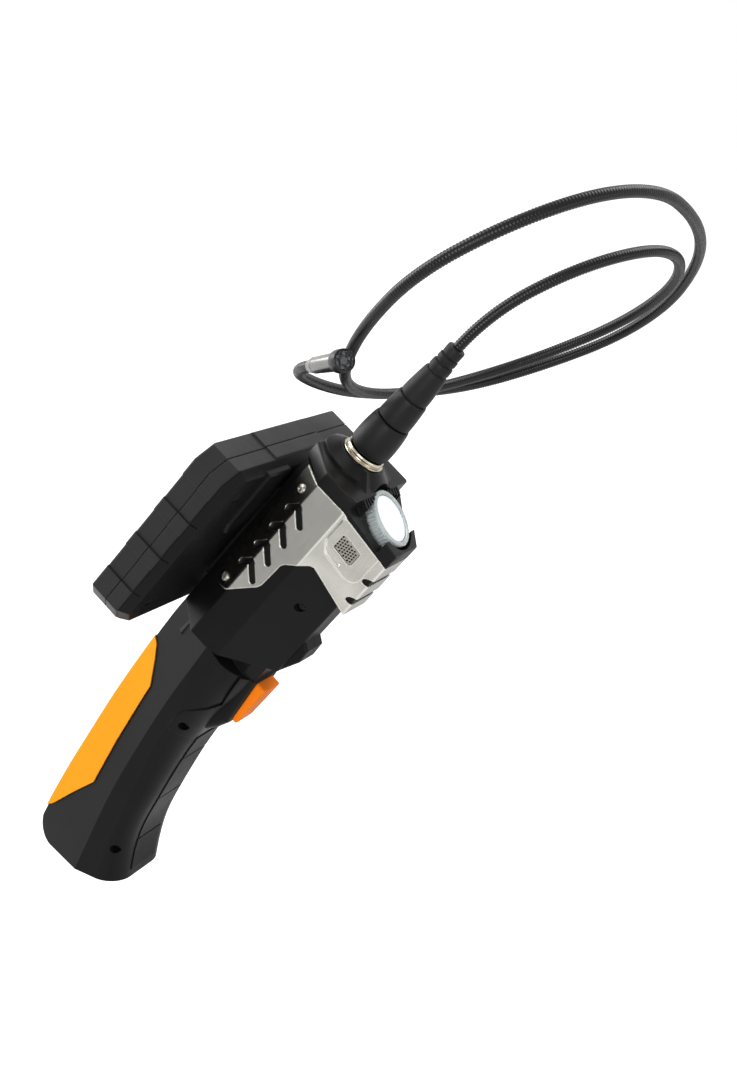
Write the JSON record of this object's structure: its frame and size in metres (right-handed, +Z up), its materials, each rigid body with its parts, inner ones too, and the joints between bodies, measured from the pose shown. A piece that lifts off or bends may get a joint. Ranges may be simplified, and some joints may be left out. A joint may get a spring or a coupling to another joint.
{
  "type": "inspection camera",
  "caption": "Handheld inspection camera with a pistol grip, a dockable display, a work lamp, a steel-clad head and a coiled gooseneck probe ending in a lit camera.",
  "frame": {"origin": "middle of the grip on the symmetry plane of the handle, 60 mm under the display's lower edge", "axes": "+X to the user's right, +Y to the finger side (the display looks along -Y), +Z up the axis of the head, towards the probe socket"},
  "size_m": [0.1904, 0.0841, 0.3677],
  "materials": {
    "handle_plastic": "fine spark-eroded black moulding",
    "head_plastic": "fine spark-eroded black moulding",
    "bezel_plastic": "smooth satin black moulding",
    "orange_pad": "soft orange overmoulding, satin",
    "grip_rubber": "soft black overmoulding",
    "button_orange": "orange moulding, semi-gloss",
    "door_plastic": "black moulding",
    "cell_jacket": "printed cell jacket",
    "circuit_board": "green board",
    "spring_steel": "drawn wire",
    "screw_steel": "machined, passivated",
    "black_screw": "black oxide",
    "shroud_steel": "brushed and stamped sheet",
    "mesh_steel": "perforated sheet",
    "socket_plastic": "black insert",
    "nickel": "turned and nickel plated",
    "lamp_metal": "black anodised",
    "lamp_clear": "frosted clear moulding",
    "lamp_diffuser": "white diffuser",
    "led": "phosphor",
    "nut_plastic": "black knurled moulding",
    "plug_plastic": "black moulding",
    "boot_rubber": "black strain relief",
    "neck_jacket": "ribbed black jacket over a coiled core",
    "barrel_metal": "turned stainless steel",
    "camera_glass": "sapphire window",
    "camera_optic": "dark lens",
    "bumper_rubber": "black soft bumper",
    "display_plastic": "black moulding",
    "screen_glass": "dark screen window",
    "screen_panel": "liquid crystal panel",
    "key_rubber": "dark grey keypad",
    "cell_foil": "foil pouch"
  },
  "bodies": {
    "frame": {"handle_right_shell": "handle_plastic", "handle_left_shell": "handle_plastic", "palm_pad": "orange_pad", "finger_grip": "grip_rubber", "battery_cells": "cell_jacket", "contact_board": "circuit_board", "button_switch": "circuit_board", "button_spring": "spring_steel", "case_screws": "black_screw", "head_right_shell": "head_plastic", "head_left_shell": "head_plastic", "steel_shroud": "shroud_steel", "mesh_plates": "mesh_steel", "shroud_screws": "screw_steel", "front_bezel": "bezel_plastic", "socket_insert": "socket_plastic", "socket_collar": "nickel", "lamp_body": "lamp_metal", "lamp_collar": "lamp_clear", "lamp_lens": "lamp_diffuser", "lamp_board": "led", "main_board": "circuit_board", "dock_plate": "head_plastic"},
    "power_button": {"power_button": "button_orange"},
    "battery_door": {"battery_door": "door_plastic"},
    "display": {"bumper": "bumper_rubber", "screen_frame": "display_plastic", "back_cover": "display_plastic", "screen_window": "screen_glass", "screen_panel": "screen_panel", "display_board": "circuit_board", "display_cell": "cell_foil", "display_screws": "black_screw"},
    "key_1": {"key_1": "key_rubber"},
    "key_2": {"key_2": "key_rubber"},
    "key_3": {"key_3": "key_rubber"},
    "key_4": {"key_4": "key_rubber"},
    "key_5": {"key_5": "key_rubber"},
    "probe": {"plug_body": "plug_plastic", "cable_boot": "boot_rubber", "tail_ferrule": "plug_plastic", "gooseneck": "neck_jacket", "camera_barrel": "barrel_metal", "camera_window": "camera_glass", "camera_lens": "camera_optic", "camera_lights": "led"},
    "coupling_nut": {"coupling_nut": "nut_plastic"}
  },
  "joints": [
    {"name": "power_button_press", "type": "slide", "parent": "frame", "child": "power_button", "axis": [0, -1, 0], "range_m": [0, 0.0016], "stiffness_N_per_m": 300, "deforming": ["button_spring"]},
    {"name": "battery_door_pull", "type": "slide", "parent": "frame", "child": "battery_door", "axis": [0, 0.4728, -0.8812], "range_m": [0, 0.02]},
    {"name": "display_lift", "type": "slide", "parent": "frame", "child": "display", "axis": [0, 0, 1], "range_m": [0, 0.009]},
    {"name": "probe_pull", "type": "slide", "parent": "frame", "child": "probe", "axis": [0, 0, 1], "range_m": [0, 0.015]},
    {"name": "coupling_nut_turn", "type": "hinge", "parent": "probe", "child": "coupling_nut", "pos_m": [0, -0.0092, 0.167], "axis": [0, 0, 1], "continuous": true},
    {"name": "key_1_press", "type": "slide", "parent": "display", "child": "key_1", "axis": [0, 1, 0], "range_m": [0, 0.0006], "stiffness_N_per_m": 300},
    {"name": "key_2_press", "type": "slide", "parent": "display", "child": "key_2", "axis": [0, 1, 0], "range_m": [0, 0.0006], "stiffness_N_per_m": 300},
    {"name": "key_3_press", "type": "slide", "parent": "display", "child": "key_3", "axis": [0, 1, 0], "range_m": [0, 0.0006], "stiffness_N_per_m": 300},
    {"name": "key_4_press", "type": "slide", "parent": "display", "child": "key_4", "axis": [0, 1, 0], "range_m": [0, 0.0006], "stiffness_N_per_m": 300},
    {"name": "key_5_press", "type": "slide", "parent": "display", "child": "key_5", "axis": [0, 1, 0], "range_m": [0, 0.0006], "stiffness_N_per_m": 300}
  ]
}
